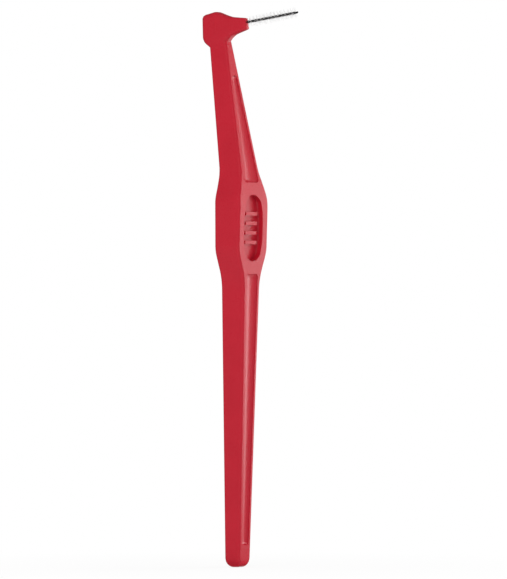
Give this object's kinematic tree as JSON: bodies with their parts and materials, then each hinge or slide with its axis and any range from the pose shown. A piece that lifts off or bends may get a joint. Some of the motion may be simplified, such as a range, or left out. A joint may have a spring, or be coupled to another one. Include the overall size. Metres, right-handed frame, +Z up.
{
  "type": "interdental brush",
  "caption": "Long moulded handle with a fluted grip, a ribbed thumb recess and a small angled head that holds a short twisted-wire brush for cleaning between teeth",
  "frame": {"origin": "middle of the small flat at the tail end of the handle", "axes": "+Z up the handle to the head, +X the way the brush points, symmetric about Y = 0"},
  "size_m": [0.0283, 0.0152, 0.146],
  "materials": {
    "handle_plastic": "satin moulded red plastic",
    "coated_wire": "thin dark plastic coat on steel wire",
    "nylon_filament": "translucent white nylon"
  },
  "bodies": {
    "root": {"handle": "handle_plastic", "twisted_wire": "coated_wire", "filaments_turn_01": "nylon_filament", "filaments_turn_02": "nylon_filament", "filaments_turn_03": "nylon_filament", "filaments_turn_04": "nylon_filament", "filaments_turn_05": "nylon_filament", "filaments_turn_06": "nylon_filament", "filaments_turn_07": "nylon_filament"}
  },
  "joints": []
}
